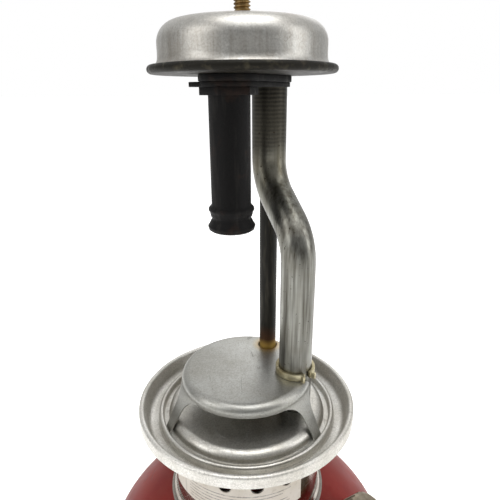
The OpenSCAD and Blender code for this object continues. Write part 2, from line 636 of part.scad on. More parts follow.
// Outside of the burner tube from its lower end up: flared foot, groove for the mantle's string, bead.
burner_path = concat(
    [[burner_r + 0.4, burner_end], [burner_r + 1.4, burner_end + 0.7]],
    arc([burner_r + 0.9, burner_end + 2], 0.85, -45, 60, 4),
    arc([burner_r + 0.9, burner_end + 5.4], 0.95, 240, 120, 4),
    arc([burner_r + 0.1, burner_end + 9.2], 1.25, -50, 70, 5),
    [[burner_r, burner_end + 11.4], [burner_r, chamber_z - seat]]);
module burner_tube() color("dimgray") translate([burner_pos[0], burner_pos[1], 0]) rotate_extrude()
    polygon(concat(burner_path, [[burner_r - burner_wall, chamber_z - seat], [burner_r - burner_wall, burner_end]]));
module burner_screen() color("gray") translate([burner_pos[0], burner_pos[1], burner_end + 0.6]) difference() {
    cylinder(r = burner_r - burner_wall - fit, h = 0.6);
    for (i = [-2:2], j = [-2:2]) if (i * i + j * j < 7)
        translate([i * 2.2 - 0.6, j * 2.2 - 0.6, -1]) cube([1.2, 1.2, 3]);
}

rim_r = cap_r + 4.25;
rim_roll = 1.6;
base_wall = 0.9;
cap_wall = 0.8;
cap_flange_r = rim_r - rim_roll;
cap_flange_z = chamber_z + 2 * rim_roll - base_wall - fit;
cap_shoulder = 7.8;
cap_crown = 1.6;
cap_flare_h = 4.2;
stud_step = 0.6;
module chamber_base() color("dimgray") difference() {
    turned(concat([[0, chamber_z]],
        arc([rim_r - rim_roll, chamber_z + rim_roll], rim_roll, -90, 90, 10)), base_wall);
    translate([0, 0, chamber_z - 1]) tube_bores(-burner_wall, 4);
}
module chamber_dome() color("gainsboro") turned(concat(
    [[stud_r - stud_step + 0.15, cap_z]],
    arc([cap_r - cap_shoulder, cap_z - cap_crown - cap_shoulder], cap_shoulder, 90, 0, 10),
    [for (a = [0:15:90]) [cap_flange_r - (cap_flange_r - cap_r) * cos(a), cap_flange_z + cap_flare_h * (1 - sin(a))]]),
    -cap_wall);
module stud() color("darkgoldenrod") {
    translate([0, 0, cap_z - 8.4]) cylinder(r = stud_r - stud_step, h = 8.9);
    translate([0, 0, cap_z + fit]) cylinder(r = stud_r, h = stud_len);
}
module stud_nut() color("goldenrod") {
    translate([0, 0, cap_z - 7.4]) hex_nut(3.5 * stud_r, stud_r - stud_step + fit, 4);
    translate([0, 0, cap_z - 3.3]) ring(stud_r + 5, stud_r - stud_step + fit, 1.4);
}

fount_dome();
fount_base();
filler_neck();
filler_cap();
cap_gasket();
cap_insert();
pump_barrel();
pump_cover();
pump_screws();
plunger_rod();
pump_knob();
pump_cup();
cup_washers();
air_stem();
check_valve();
valve_bushing();
valve_body();
fuel_pickup();
packing_nut();
valve_packing();
valve_stem();
direction_disc();
disc_nut();
valve_wheel();
wheel_screw();
cleaner_stem();
cleaner_nut();
cleaner_lever();
needle_carrier();
cleaning_needle();
generator_nut();
generator_tube();
generator_tip();
collar();
collar_label();
globe_rest();
rest_tab();
base_plate();
ring_nut();
heat_shield();
tube_clip();
mixing_tube();
manifold();
retainer_plate();
burner_locknut();
burner_tube();
burner_screen();
chamber_base();
chamber_dome();
stud();
stud_nut();
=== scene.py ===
# %% [markdown]
# # A pressure lantern with its hood and globe off
# This lesson dresses the measured parts of a camping lantern: a red fuel fount, a plated collar, a dish that
# holds the globe, two heat shields, and a sooty burner that hangs from a domed mixing chamber.
# The measured parts arrive first, in metres, already in place. They fix every size that follows.

# %% Load the measured parts
import json
import math

import bpy
from mathutils import Matrix, Vector


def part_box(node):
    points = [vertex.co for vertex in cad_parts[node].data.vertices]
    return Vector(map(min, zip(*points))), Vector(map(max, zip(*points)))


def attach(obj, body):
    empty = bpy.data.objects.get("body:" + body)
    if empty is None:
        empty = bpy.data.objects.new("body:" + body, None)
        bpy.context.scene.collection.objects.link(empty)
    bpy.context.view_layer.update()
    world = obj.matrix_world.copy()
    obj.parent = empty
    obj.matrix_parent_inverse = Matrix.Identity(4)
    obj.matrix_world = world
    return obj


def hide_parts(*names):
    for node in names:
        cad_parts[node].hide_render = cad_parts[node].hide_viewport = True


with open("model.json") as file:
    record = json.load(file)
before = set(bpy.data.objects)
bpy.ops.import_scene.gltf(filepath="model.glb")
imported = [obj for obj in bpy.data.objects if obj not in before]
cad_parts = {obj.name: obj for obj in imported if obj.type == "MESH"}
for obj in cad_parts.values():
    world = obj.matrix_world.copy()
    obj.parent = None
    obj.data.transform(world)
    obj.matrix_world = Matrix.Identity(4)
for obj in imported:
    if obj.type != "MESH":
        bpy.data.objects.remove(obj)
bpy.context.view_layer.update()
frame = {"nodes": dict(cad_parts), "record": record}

MM = 0.001
WELD = 0.001 * MM    # corners closer than this are one
nodes = frame["nodes"]
lip_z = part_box("globe_rest")[1].z
print(len(nodes), "measured parts; the globe rest's lip is at", round(lip_z / MM, 1), "mm")

# %% [markdown]
# ## The camera
# The lantern is seen from a little in front of the burner and from above the globe rest, so the lens is fairly
# wide and looks down. A turn about the upright axis, then the downward tilt, then a slight roll of the camera in
# the hand give its direction. Multiplying three rotation matrices keeps that order plain.

# %% Set the camera
PITCH, YAW, ROLL = 19.435, 0.708, -0.39    # degrees
CAMERA_OUT, CAMERA_ABOVE_LIP = 0.186, 0.1408    # metres
SENSOR_WIDTH, FOCAL_LENGTH = 36, 32.32    # millimetres
lens_data = bpy.data.cameras.new("view")
lens_data.sensor_width = SENSOR_WIDTH
lens_data.lens = FOCAL_LENGTH
lens_data.clip_start = 0.01
camera = bpy.data.objects.new("view", lens_data)
bpy.context.scene.collection.objects.link(camera)
aim = (Matrix.Rotation(math.radians(-YAW), 4, "Z")
       @ Matrix.Rotation(math.radians(90 - PITCH), 4, "X")
       @ Matrix.Rotation(math.radians(ROLL), 4, "Z"))
camera.matrix_world = Matrix.Translation((0, -CAMERA_OUT, lip_z + CAMERA_ABOVE_LIP)) @ aim
bpy.context.scene.camera = camera
print("camera at", [round(v, 3) for v in camera.location], "with a", lens_data.lens, "mm lens")

# %% [markdown]
# ## Floor, sky and lamps
# Bare metal shows what stands round it more than its own colour. A white tent above, with a darker band at eye
# height, gives the satin dome its bright shoulder and its grey wall. The side behind the lantern is brighter, so
# edges seen at a slant catch light. Two gradients by height and one by depth are simpler than a built tent, and
# the view itself sees plain white there. Large area lamps add the broad highlights. One pale plane is the floor,
# and it glows a little so that it meets the white without a line.

# %% Build the studio
def add(tree, kind, inputs=None, **settings):
    """Add a node, set or link its inputs by name or number, and return it."""
    node = tree.nodes.new(kind)
    for key, value in settings.items():
        setattr(node, key, value)
    for key, value in (inputs or {}).items():
        if isinstance(value, bpy.types.NodeSocket):
            tree.links.new(value, node.inputs[key])
        else:
            node.inputs[key].default_value = value
    return node


def ranged(tree, value, low, high, to_low=0.0, to_high=1.0):
    """Stretch a value from one range to another and keep it inside."""
    return add(tree, "ShaderNodeMapRange", {
        "Value": value, "From Min": low, "From Max": high, "To Min": to_low, "To Max": to_high}).outputs["Result"]


def mixed(tree, factor, first, second):
    """Blend two colours, each a socket or an RGB triple."""
    pair = [c if isinstance(c, bpy.types.NodeSocket) else (*c, 1) for c in (first, second)]
    return add(tree, "ShaderNodeMix", {0: factor, 6: pair[0], 7: pair[1]}, data_type="RGBA").outputs[2]


def maths(tree, operation, first, second=0.0):
    """One sum on two values, each a socket or a number."""
    return add(tree, "ShaderNodeMath", {0: first, 1: second}, operation=operation).outputs[0]


def laid(tree, colour, mask, amount, over):
    """Lay another colour over the first where a mask is, by a given amount."""
    return mixed(tree, maths(tree, "MULTIPLY", mask, amount), colour, over)


scene = bpy.context.scene
scene.view_settings.view_transform = "Standard"
sky = bpy.data.worlds.new("tent")
scene.world = sky
sky.use_nodes = True
tree = sky.node_tree
tree.nodes.clear()
ray = add(tree, "ShaderNodeTexCoord").outputs["Generated"]
direction = add(tree, "ShaderNodeSeparateXYZ", {"Vector": ray}).outputs
dim_low = ranged(tree, direction[2], -0.3, -0.02, 0.4, 0.1)
bright_high = ranged(tree, direction[2], 0.1, 0.7, 0.0, 0.42)
backdrop = ranged(tree, direction[1], 0.0, 0.8, 0.0, 0.6)
tent = maths(tree, "ADD", maths(tree, "ADD", dim_low, bright_high), backdrop)
seen = add(tree, "ShaderNodeLightPath").outputs["Is Camera Ray"]
strength = add(tree, "ShaderNodeMix", {0: seen, 2: tent, 3: 1.0}).outputs[0]
glow = add(tree, "ShaderNodeBackground", {"Color": (1, 1, 1, 1), "Strength": strength})
add(tree, "ShaderNodeOutputWorld", {"Surface": glow.outputs[0]})


def lamp(name, place, target, width, tall, watts):
    """An area lamp that faces a point."""
    data = bpy.data.lights.new(name, "AREA")
    data.shape, data.size, data.size_y, data.energy = "RECTANGLE", width, tall, watts
    light = bpy.data.objects.new(name, data)
    scene.collection.objects.link(light)
    light.location = place
    light.rotation_euler = (Vector(target) - Vector(place)).to_track_quat("-Z", "Y").to_euler()
    return light


lamp("lamp_left", (-0.9, -0.5, 0.75), (0, 0, 0.18), 0.5, 0.9, 4.5)
lamp("lamp_right", (0.95, -0.25, 0.6), (0, 0, 0.18), 0.4, 0.9, 3.5)
lamp("lamp_top", (0.1, -0.2, 1.3), (0, 0, 0.2), 0.9, 0.9, 9)
lamp("lamp_back", (0.2, 1.1, 0.7), (0, 0, 0.2), 0.7, 0.7, 1.5)

bpy.ops.object.select_all(action="DESELECT")
bpy.ops.mesh.primitive_plane_add(size=60)
floor = bpy.context.object
floor.name = "floor"
paint = bpy.data.materials.new("floor_paint")
paint.use_nodes = True
shader = paint.node_tree.nodes["Principled BSDF"]
shader.inputs["Base Color"].default_value = (0.86, 0.86, 0.85, 1)
shader.inputs["Roughness"].default_value = 0.9
shader.inputs["Specular IOR Level"].default_value = 0.1
shader.inputs["Emission Color"].default_value = (1, 1, 1, 1)
shader.inputs["Emission Strength"].default_value = 0.6
floor.data.materials.append(paint)
print("studio ready")

# %% [markdown]
# ## Shared effects
# Old metal is never one colour. The same few effects come back on most of these parts: cloudy patches, streaks
# along a tube, fine turned rings, thin scratches, and a change with height or with distance from a hot spot.
# Each is a node group that gives one value over the surface. A material can then use it for colour,
# roughness or bump with its own amounts.

# %% A helper for node groups
def effect(name, sockets):
    """Start a node group and return it with its input and output nodes."""
    group = bpy.data.node_groups.new(name, "ShaderNodeTree")
    for label, kind, value in sockets:
        socket = group.interface.new_socket(name=label, in_out="INPUT", socket_type="NodeSocket" + kind)
        socket.default_value = value
    group.interface.new_socket(name="Mask", in_out="OUTPUT", socket_type="NodeSocketFloat")
    return group, group.nodes.new("NodeGroupInput").outputs, group.nodes.new("NodeGroupOutput").inputs


def place(tree, group, **values):
    """Put a group into a material, and return its one output."""
    node = tree.nodes.new("ShaderNodeGroup")
    node.node_tree = group
    for label, value in values.items():
        socket = node.inputs[label.replace("_", " ").capitalize()]
        if isinstance(value, bpy.types.NodeSocket):
            tree.links.new(value, socket)
        else:
            socket.default_value = value
    return node.outputs[0]


WHERE = ("Vector", "Vector", (0, 0, 0))

# %% Patches: cloudy stains with a soft or hard edge
patches, given, made = effect("patches", [
    WHERE, ("Scale", "Float", 60), ("Edge", "Float", 0.5), ("Softness", "Float", 0.1)])
cloud = add(patches, "ShaderNodeTexNoise", {
    "Vector": given["Vector"], "Scale": given["Scale"], "Detail": 5.0, "Roughness": 0.6}).outputs[0]
low = maths(patches, "SUBTRACT", given["Edge"], given["Softness"])
high = maths(patches, "ADD", given["Edge"], given["Softness"])
patches.links.new(ranged(patches, cloud, low, high), made["Mask"])

# %% Streaks: marks drawn out along a tube's length
streaks, given, made = effect("streaks", [WHERE, ("Scale", "Float", 500), ("Stretch", "Float", 0.05)])
squeeze = add(streaks, "ShaderNodeCombineXYZ", {0: 1.0, 1: 1.0, 2: given["Stretch"]}).outputs[0]
drawn = add(streaks, "ShaderNodeVectorMath", {0: given["Vector"], 1: squeeze}, operation="MULTIPLY").outputs[0]
line = add(streaks, "ShaderNodeTexNoise", {
    "Vector": drawn, "Scale": given["Scale"], "Detail": 3.0, "Roughness": 0.65}).outputs[0]
streaks.links.new(line, made["Mask"])

# %% Turned rings: the fine marks that a spinning tool or cloth leaves round an axis
turned_rings, given, made = effect("turned_rings", [
    WHERE, ("Centre", "Vector", (0, 0, 0)), ("Scale", "Float", 1500), ("Break up", "Float", 2.0)])
local = add(turned_rings, "ShaderNodeVectorMath", {
    0: given["Vector"], 1: given["Centre"]}, operation="SUBTRACT").outputs[0]
axes = add(turned_rings, "ShaderNodeSeparateXYZ", {0: local}).outputs
reach = maths(turned_rings, "SQRT", maths(turned_rings, "ADD",
    maths(turned_rings, "MULTIPLY", axes[0], axes[0]), maths(turned_rings, "MULTIPLY", axes[1], axes[1])))
round_it = maths(turned_rings, "ARCTAN2", axes[1], axes[0])
flat = add(turned_rings, "ShaderNodeCombineXYZ", {
    0: maths(turned_rings, "MULTIPLY", reach, given["Scale"]),
    1: maths(turned_rings, "MULTIPLY", axes[2], given["Scale"]),
    2: maths(turned_rings, "MULTIPLY", round_it, given["Break up"])}).outputs[0]
rings = add(turned_rings, "ShaderNodeTexNoise", {"Vector": flat, "Scale": 1.0, "Detail": 3.0}).outputs[0]
turned_rings.links.new(rings, made["Mask"])

# %% Scratches: thin lines, broken where the surface was spared
scratches, given, made = effect("scratches", [
    WHERE, ("Scale", "Float", 90), ("Width", "Float", 0.012), ("Spared", "Float", 0.55)])
skew = add(scratches, "ShaderNodeMapping", {
    "Vector": given["Vector"], "Rotation": (0.5, 0.35, 0.9), "Scale": (1.0, 0.16, 1.0)}).outputs[0]
cells = add(scratches, "ShaderNodeTexVoronoi", {"Vector": skew, "Scale": given["Scale"]},
            feature="DISTANCE_TO_EDGE").outputs["Distance"]
thin = maths(scratches, "LESS_THAN", cells, given["Width"])
kept = add(scratches, "ShaderNodeTexNoise", {"Vector": given["Vector"], "Scale": given["Scale"]}).outputs[0]
kept = maths(scratches, "GREATER_THAN", kept, given["Spared"])
scratches.links.new(maths(scratches, "MULTIPLY", thin, kept), made["Mask"])

# %% Rising: from none to full between two heights, with a wavering edge
rising, given, made = effect("rising", [
    WHERE, ("Low", "Float", 0.0), ("High", "Float", 0.1), ("Waver", "Float", 0.004)])
level = add(rising, "ShaderNodeSeparateXYZ", {0: given["Vector"]}).outputs[2]
wave = add(rising, "ShaderNodeTexNoise", {"Vector": given["Vector"], "Scale": 120.0, "Detail": 4.0}).outputs[0]
wave = maths(rising, "MULTIPLY", maths(rising, "SUBTRACT", wave, 0.5), given["Waver"])
rising.links.new(ranged(rising, maths(rising, "ADD", level, wave), given["Low"], given["High"]), made["Mask"])

# %% Around: full near an upright axis, none beyond a distance
around, given, made = effect("around", [
    WHERE, ("Centre", "Vector", (0, 0, 0)), ("Near", "Float", 0.005), ("Far", "Float", 0.01)])
offset = add(around, "ShaderNodeVectorMath", {
    0: given["Vector"], 1: given["Centre"]}, operation="SUBTRACT").outputs[0]
level_only = add(around, "ShaderNodeVectorMath", {0: offset, 1: (1, 1, 0)}, operation="MULTIPLY").outputs[0]
away = add(around, "ShaderNodeVectorMath", {0: level_only}, operation="LENGTH").outputs["Value"]
around.links.new(ranged(around, away, given["Near"], given["Far"], 1.0, 0.0), made["Mask"])
print("effects:", [g.name for g in bpy.data.node_groups])

# %% [markdown]
# ## Starting a material
# Every finish below starts the same way: a Principled shader, the object's own coordinates, and a base colour
# given as a plain eight-bit RGB that is turned into linear light. The helper returns what the finish will need.

# %% Material helpers
def rgb(red, green, blue):
    """An eight-bit colour as linear light."""
    return tuple((c / 255 / 12.92) if c <= 10 else ((c / 255 + 0.055) / 1.055) ** 2.4 for c in (red, green, blue))


def finish(name, metallic=0.0, coat=0.0, coat_roughness=0.1, specular=0.5):
    """A new material: its tree, its shader, and the object's own coordinates."""
    material = bpy.data.materials.new(name)
    material.use_nodes = True
    tree = material.node_tree
    shader = tree.nodes["Principled BSDF"]
    shader.inputs["Metallic"].default_value = metallic
    shader.inputs["Coat Weight"].default_value = coat
    shader.inputs["Coat Roughness"].default_value = coat_roughness
    shader.inputs["Specular IOR Level"].default_value = specular
    return material, tree, shader, add(tree, "ShaderNodeTexCoord").outputs["Object"]


def wire(tree, shader, colour=None, roughness=None, metallic=None, height=None, depth=0.1 * MM, strength=0.5):
    """Join the finished values to the shader, with the height through a bump."""
    for label, value in (("Base Color", colour), ("Roughness", roughness), ("Metallic", metallic)):
        if isinstance(value, bpy.types.NodeSocket):
            tree.links.new(value, shader.inputs[label])
        elif value is not None:
            shader.inputs[label].default_value = (*value, 1) if label == "Base Color" else value
    if height is not None:
        bump = add(tree, "ShaderNodeBump", {"Height": height, "Strength": strength, "Distance": depth})
        tree.links.new(bump.outputs[0], shader.inputs["Normal"])


def total(tree, *parts):
    """Add up several (value, amount) pairs into one height or roughness."""
    result = 0.0
    for value, amount in parts:
        result = maths(tree, "ADD", maths(tree, "MULTIPLY", value, amount), result)
    return result

# %% [markdown]
# ## The red enamel of the fount
# The fount is steel under thick red enamel that has aged to a brick red. Clouds of two close reds, a clear coat
# over a softer base, a faint orange-peel bump, and a few chips down to dull metal are enough. The chips follow
# the scratch lines, because that is where enamel breaks first.

# %% Red enamel
red_enamel, tree, shader, at = finish("red_enamel", coat=0.05, coat_roughness=0.2, specular=0.12)
cloudy = place(tree, patches, Vector=at, Scale=28.0, Edge=0.5, Softness=0.16)
specks = place(tree, patches, Vector=at, Scale=900.0, Edge=0.71, Softness=0.015)
scuffed = place(tree, scratches, Vector=at, Scale=55.0, Width=0.006, Spared=0.6)
dusty = place(tree, patches, Vector=at, Scale=140.0, Edge=0.56, Softness=0.2)
colour = mixed(tree, cloudy, rgb(108, 28, 24), rgb(124, 36, 31))
colour = laid(tree, colour, dusty, 0.22, rgb(140, 82, 72))
colour = mixed(tree, maths(tree, "MAXIMUM", specks, maths(tree, "MULTIPLY", scuffed, 0.7)), colour, rgb(78, 58, 50))
peel = add(tree, "ShaderNodeTexNoise", {"Vector": at, "Scale": 700.0}).outputs[0]
wire(tree, shader, colour, ranged(tree, dusty, 0, 1, 0.42, 0.6),
     height=total(tree, (peel, 0.25), (specks, -1.0), (scuffed, -0.7)), depth=0.08 * MM, strength=0.4)

# %% [markdown]
# ## Plated and bare sheet metal
# The collar is nickel plate, still bright but clouded and pitted. The rest, the shields and the mixing dome are
# duller: their sheen is broad, with fine turned rings from spinning, brown clouds where they ran hot, and thin
# scratches. One function makes them all, because only the amounts differ.

# %% Sheet metal
def sheet_metal(name, clean, stained, rough, stain=0.5, grain=0.5, pits=0.0, centre=(0, 0, 0), ring_scale=1400.0):
    """Satin sheet: turned grain, stains, scratches and pits, in given amounts."""
    material, tree, shader, at = finish(name, metallic=1.0)
    rings = place(tree, turned_rings, Vector=at, Centre=centre, Scale=ring_scale, Break_up=5.0)
    stains = place(tree, patches, Vector=at, Scale=45.0, Edge=0.55, Softness=0.16)
    fine = place(tree, patches, Vector=at, Scale=320.0, Edge=0.56, Softness=0.14)
    marks = place(tree, scratches, Vector=at, Scale=110.0, Width=0.01, Spared=0.56)
    pit = place(tree, patches, Vector=at, Scale=1100.0, Edge=0.68, Softness=0.02)
    grit = place(tree, patches, Vector=at, Scale=1500.0, Edge=0.52, Softness=0.16)
    colour = laid(tree, clean, stains, stain, stained)
    colour = laid(tree, colour, fine, stain * 0.35, stained)
    colour = laid(tree, colour, grit, 0.42, rgb(112, 110, 104))
    colour = laid(tree, colour, marks, 0.15, rgb(96, 92, 84))
    colour = laid(tree, colour, pit, pits, rgb(70, 62, 52))
    roughness = total(tree, (stains, 0.14 * stain), (rings, 0.16 * grain), (marks, 0.12), (pit, 0.4 * pits))
    roughness = maths(tree, "ADD", roughness, rough - 0.08 * grain)
    height = total(tree, (rings, 0.5 * grain), (marks, -0.6), (pit, -1.2 * pits), (fine, 0.15), (grit, -0.35))
    wire(tree, shader, colour, roughness, height=height, depth=0.06 * MM, strength=0.55)
    return material, tree, shader, at, colour


nickel_plate = sheet_metal("nickel_plate", rgb(176, 170, 162), rgb(118, 104, 92), 0.14, 0.6, 0.15, 0.8)[0]
dish_metal = sheet_metal("dish_metal", rgb(222, 220, 215), rgb(188, 184, 174), 0.45, 0.7, 0.2, 0.5)[0]
shield_metal, tree, shader, at, colour = sheet_metal(
    "shield_metal", rgb(172, 172, 168), rgb(142, 139, 128), 0.38, 0.5, 0.5, 0.3)
plate_metal = sheet_metal("plate_metal", rgb(208, 207, 202), rgb(160, 152, 138), 0.36, 0.6, 0.8, 0.15)[0]
print("sheet metals made")

# %% [markdown]
# The hot generator has tinted the shield gold and brown round its hole. The tint is laid over the shield's own
# colour by distance from the generator's axis, straw outside and brown at the rim.

# %% Heat tint on the shield
low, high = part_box("generator_tube")
generator_axis = ((low.x + high.x) / 2, (low.y + high.y) / 2, 0)
straw = place(tree, around, Vector=at, Centre=generator_axis, Near=0.0048, Far=0.0085)
brown = place(tree, around, Vector=at, Centre=generator_axis, Near=0.0044, Far=0.0058)
tinted = laid(tree, colour, straw, 0.55, rgb(176, 150, 96))
tinted = laid(tree, tinted, brown, 0.8, rgb(96, 66, 34))
wire(tree, shader, tinted)

# %% [markdown]
# ## The mixing dome
# This spun aluminium cap has run hot for years. Its wall keeps fine upright streaks and brown clouds over the
# turned grain, and its top is cleaner. Soot creeps up a little from the rolled rim.

# %% Dome metal
dome_metal, tree, shader, at, colour = sheet_metal(
    "dome_metal", rgb(188, 187, 183), rgb(146, 137, 124), 0.38, 0.5, 0.5, 0.25)
dome_low, dome_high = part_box("chamber_dome")
DOME_SHOULDER = 7 * MM
wall_top = dome_high.z - DOME_SHOULDER
run = place(tree, streaks, Vector=at, Scale=520.0, Stretch=0.05)
on_wall = place(tree, rising, Vector=at, Low=wall_top + 1.5 * MM, High=wall_top - 1.5 * MM, Waver=0.002)
run_on_wall = maths(tree, "MULTIPLY", ranged(tree, run, 0.42, 0.68), on_wall)
colour = laid(tree, colour, run_on_wall, 0.4, rgb(128, 122, 112))
soot = place(tree, rising, Vector=at, Low=dome_low.z + 1.1 * MM, High=dome_low.z + 0.2 * MM, Waver=0.002)
colour = laid(tree, colour, soot, 0.6, rgb(60, 52, 40))
wire(tree, shader, colour)

# %% [markdown]
# ## Soot, scale and bare tube
# Three finishes tell how hot each part ran. The burner, its nut and the casting are black-brown scale with no
# shine left. The rolled rim above them is sooty but shows olive metal where it has been handled. The mixing tube
# is bare steel below, and goes sooty above its upper bend, where close rings from its forming still show.

# %% Scale
def scale_finish(name, dark, pale, rough, shine, stretch=0.12, pale_edge=0.56):
    """Burnt iron: dark scale, drawn out patches of paler metal, and a fine crust."""
    material, tree, shader, at = finish(name, specular=0.15)
    drawn = place(tree, streaks, Vector=at, Scale=240.0, Stretch=stretch)
    worn = ranged(tree, drawn, pale_edge - 0.06, pale_edge + 0.14)
    crust = place(tree, patches, Vector=at, Scale=1300.0, Edge=0.52, Softness=0.12)
    rust = place(tree, patches, Vector=at, Scale=95.0, Edge=0.63, Softness=0.06)
    colour = laid(tree, dark, worn, 0.8, pale)
    colour = laid(tree, colour, rust, 0.3, rgb(52, 34, 24))
    roughness = ranged(tree, worn, 0, 1, rough, rough - 0.16)
    wire(tree, shader, colour, roughness, ranged(tree, worn, 0, 1, shine, min(1.0, shine + 0.4)),
         height=total(tree, (crust, 0.8), (worn, -0.4)), depth=0.06 * MM, strength=0.55)
    return material, tree, shader, at, colour


burner_scale = scale_finish("burner_scale", rgb(15, 14, 14), rgb(44, 42, 40), 0.6, 0.25, pale_edge=0.6)[0]
casting_scale = scale_finish("casting_scale", rgb(11, 10, 10), rgb(34, 32, 29), 0.66, 0.15, stretch=0.8)[0]
rim_scale = scale_finish("rim_scale", rgb(24, 22, 17), rgb(66, 62, 50), 0.52, 0.3, stretch=1.0, pale_edge=0.58)[0]
generator_scale, tree, shader, at, colour = scale_finish(
    "generator_scale", rgb(30, 29, 26), rgb(66, 63, 56), 0.5, 0.4, pale_edge=0.54)
shield_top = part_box("heat_shield")[1].z
gold = place(tree, rising, Vector=at, Low=shield_top + 5 * MM, High=shield_top + 1.5 * MM, Waver=0.002)
rusty = place(tree, rising, Vector=at, Low=shield_top + 13 * MM, High=shield_top + 3 * MM, Waver=0.006)
colour = laid(tree, colour, rusty, 0.7, rgb(92, 60, 38))
colour = laid(tree, colour, gold, 0.85, rgb(170, 140, 72))
wire(tree, shader, colour)

# %% Bare tube with a sooty top
tube_steel, tree, shader, at = finish("tube_steel", metallic=1.0)
tube_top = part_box("mixing_tube")[1].z
BEND_ABOVE_LIP = 113 * MM
bend_top = lip_z + BEND_ABOVE_LIP
long_marks = place(tree, streaks, Vector=at, Scale=420.0, Stretch=0.04)
stains = place(tree, patches, Vector=at, Scale=70.0, Edge=0.52, Softness=0.14)
specks = place(tree, patches, Vector=at, Scale=620.0, Edge=0.67, Softness=0.02)
sooty = place(tree, rising, Vector=at, Low=bend_top - 3 * MM, High=bend_top + 7 * MM, Waver=0.012)
black = place(tree, rising, Vector=at, Low=tube_top - 22 * MM, High=tube_top - 2 * MM, Waver=0.02)
olive = place(tree, rising, Vector=at, Low=bend_top - 26 * MM, High=bend_top, Waver=0.03)
colour = mixed(tree, ranged(tree, long_marks, 0.4, 0.7), rgb(138, 138, 132), rgb(70, 68, 63))
colour = laid(tree, colour, stains, 0.3, rgb(96, 88, 72))
colour = laid(tree, colour, olive, 0.35, rgb(112, 106, 82))
colour = laid(tree, colour, sooty, 0.85, rgb(40, 38, 34))
colour = laid(tree, colour, black, 0.8, rgb(20, 19, 18))
colour = laid(tree, colour, specks, 0.75, rgb(52, 42, 34))
form = add(tree, "ShaderNodeTexWave", {"Vector": at, "Scale": 190.0, "Distortion": 0.8, "Detail": 1.0,
                                       "Detail Scale": 2.0}, bands_direction="Z").outputs["Fac"]
form = maths(tree, "MULTIPLY", form, sooty)
roughness = total(tree, (sooty, 0.14), (stains, 0.12), (long_marks, 0.12), (specks, 0.3))
wire(tree, shader, laid(tree, colour, form, 0.3, rgb(84, 80, 70)),
     maths(tree, "ADD", roughness, 0.24),
     height=total(tree, (form, 1.0), (long_marks, 0.3), (specks, -0.6)), depth=0.06 * MM, strength=0.45)
print("burnt and bare finishes made")

# %% [markdown]
# ## Brass, plated steel, moulded plastic, leather and rubber
# The valve, the pump and the filler are small parts in four more finishes. Brass dulls to brown in clouds. Plated
# steel stays grey with a light grain. The wheel is black moulded plastic with a fine pebble. The pump's cup is
# oiled leather, and the seals are rubber.

# %% Small-part finishes
def small_metal(name, clean, dull, rough, amount=0.6, scale=130.0):
    """Brass or plated steel: clouds of tarnish over a fine grain."""
    material, tree, shader, at = finish(name, metallic=1.0)
    tarnish = place(tree, patches, Vector=at, Scale=scale, Edge=0.5, Softness=0.15)
    grain = place(tree, streaks, Vector=at, Scale=900.0, Stretch=0.3)
    marks = place(tree, scratches, Vector=at, Scale=260.0, Width=0.012, Spared=0.5)
    colour = laid(tree, clean, tarnish, amount, dull)
    roughness = maths(tree, "ADD", total(tree, (tarnish, 0.2), (grain, 0.12), (marks, 0.1)), rough)
    wire(tree, shader, colour, roughness, height=total(tree, (grain, 0.5), (marks, -0.6)), depth=0.04 * MM)
    return material


def soft_finish(name, colour, second, rough, scale, depth):
    """Plastic, leather or rubber: two close colours and a pebbled surface."""
    material, tree, shader, at = finish(name)
    cloudy = place(tree, patches, Vector=at, Scale=scale * 0.12, Edge=0.5, Softness=0.2)
    pebble = add(tree, "ShaderNodeTexVoronoi", {"Vector": at, "Scale": scale}).outputs["Distance"]
    wire(tree, shader, mixed(tree, cloudy, colour, second), ranged(tree, cloudy, 0, 1, rough, rough + 0.12),
         height=pebble, depth=depth, strength=0.4)
    return material


brass = small_metal("valve_brass", rgb(186, 150, 88), rgb(122, 92, 54), 0.26)
stud_brass = small_metal("stud_brass", rgb(168, 142, 96), rgb(104, 82, 54), 0.3, 0.8)
plated_steel = small_metal("plated_steel", rgb(178, 177, 173), rgb(124, 118, 108), 0.26, 0.5)
cap_metal = small_metal("cap_metal", rgb(150, 140, 124), rgb(104, 92, 76), 0.42, 0.8)
clip_metal = small_metal("clip_metal", rgb(186, 180, 154), rgb(140, 126, 88), 0.3, 0.7)
knob_metal = small_metal("knob_metal", rgb(190, 187, 181), rgb(138, 130, 118), 0.22, 0.4)
black_plastic = soft_finish("black_plastic", rgb(30, 29, 29), rgb(42, 40, 39), 0.38, 900.0, 0.03 * MM)
leather = soft_finish("cup_leather", rgb(92, 58, 32), rgb(62, 38, 22), 0.6, 1400.0, 0.08 * MM)
tab_card = soft_finish("tab_card", rgb(220, 217, 208), rgb(198, 193, 178), 0.5, 800.0, 0.02 * MM)
rubber = soft_finish("seal_rubber", rgb(34, 33, 32), rgb(48, 45, 42), 0.7, 1600.0, 0.04 * MM)
print("small finishes made")

# %% [markdown]
# ## Working on a part by hand
# The measured parts have knife-sharp edges, which no pressed, cast or turned part has. The helper below takes a
# copy of one, joins its loose triangles, clears the flat seams between them, and rounds what is left of the
# sharp edges by a small width. Rounding can fold a very thin face flat onto its neighbour, so faces that share
# the same corners are dropped. The copy then stands for the measured part.

# %% Helpers for a piece
def pick(*objects):
    """Select these objects only, the first one active."""
    bpy.ops.object.select_all(action="DESELECT")
    for item in objects:
        item.select_set(True)
    bpy.context.view_layer.objects.active = objects[0]


def dress(piece, material):
    """Give a piece this one material."""
    piece.data.materials.clear()
    piece.data.materials.append(material)


def choose_faces(piece, wanted):
    """Select only the faces that pass a test."""
    bpy.ops.object.mode_set(mode="EDIT")
    bpy.ops.mesh.select_all(action="DESELECT")
    bpy.ops.object.mode_set(mode="OBJECT")
    for face in piece.data.polygons:
        face.select = wanted(face)


